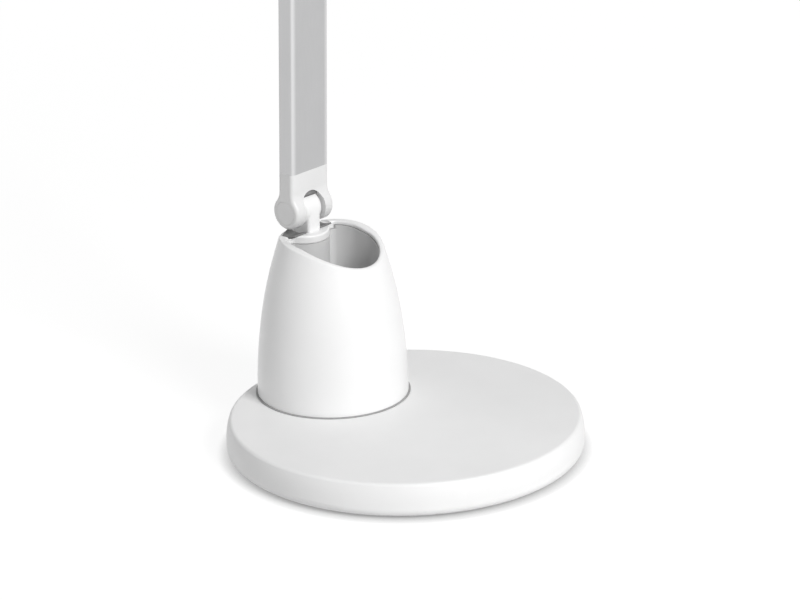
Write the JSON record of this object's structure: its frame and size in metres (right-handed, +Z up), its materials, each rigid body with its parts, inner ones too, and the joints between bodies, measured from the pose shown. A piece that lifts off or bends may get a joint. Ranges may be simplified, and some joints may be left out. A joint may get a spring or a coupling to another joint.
{
  "type": "desk lamp",
  "caption": "LED desk lamp: round weighted base with an open pen cup, flat aluminium arm hinged at the cup, and a tilting light bar.",
  "frame": {"origin": "centre of the round base, on the surface it stands on", "axes": "+Z up; the lamp faces -Y, with the pen cup and arm at +Y; +X is the lamp's left-right axis, which both arm hinges lie along"},
  "size_m": [0.19, 0.3361, 0.4086],
  "materials": {
    "white_shell": "satin gloss white injection-moulded ABS",
    "white_base": "fine satin white ABS",
    "cup_inner": "matt white moulding",
    "arm_aluminium": "fine brushed, clear anodised",
    "rubber_foot": "matt grey rubber",
    "steel_plate": "raw steel plate",
    "screw_steel": "zinc plated",
    "pivot_steel": "turned, nickel plated",
    "circuit_board": "green solder mask",
    "led_board_white": "white solder mask on aluminium",
    "component_black": "moulded epoxy",
    "led_package": "yellow phosphor",
    "diffuser_opal": "opal acrylic",
    "lead_jacket": "pale PVC jacket",
    "socket_black": "black nylon"
  },
  "bodies": {
    "base": {"base_shell": "white_base", "base_tray": "white_base", "rubber_feet": "rubber_foot", "tray_screws": "screw_steel", "ballast_plate": "steel_plate", "control_board": "circuit_board", "board_components": "component_black", "power_socket": "socket_black", "pen_cup": "white_shell", "cup_liner": "cup_inner", "cup_screws": "screw_steel", "hinge_post": "white_shell", "post_screws": "screw_steel", "base_lead": "lead_jacket", "lower_pivot_tube": "pivot_steel", "lower_pivot_nut": "pivot_steel", "lower_friction_washers": "pivot_steel"},
    "arm": {"lower_fork": "white_shell", "lower_hinge_caps": "white_shell", "arm_profile": "arm_aluminium", "upper_fork": "white_shell", "upper_hinge_caps": "white_shell", "fork_screws": "screw_steel", "arm_lead": "lead_jacket"},
    "head": {"head_knuckle": "white_shell", "head_shell": "white_shell", "head_bezel": "white_shell", "diffuser": "diffuser_opal", "led_board": "led_board_white", "leds": "led_package", "board_screws": "screw_steel", "knuckle_screws": "screw_steel", "switch_board": "circuit_board", "head_lead": "lead_jacket", "upper_pivot_tube": "pivot_steel", "upper_pivot_nut": "pivot_steel", "upper_friction_washers": "pivot_steel"},
    "power_button": {"power_button": "white_shell"}
  },
  "joints": [
    {"name": "arm_tilt", "type": "hinge", "parent": "base", "child": "arm", "pos_m": [0, 0.0712, 0.1195], "axis": [1, 0, 0], "range_deg": [-20, 45]},
    {"name": "head_tilt", "type": "hinge", "parent": "arm", "child": "head", "pos_m": [0, 0.06289, 0.39938], "axis": [1, 0, 0], "range_deg": [-60, 45]},
    {"name": "button_press", "type": "slide", "parent": "head", "child": "power_button", "axis": [0, 0, -1], "range_m": [0, 0.0006], "stiffness_N_per_m": 900, "springref_m": -0.0006}
  ]
}
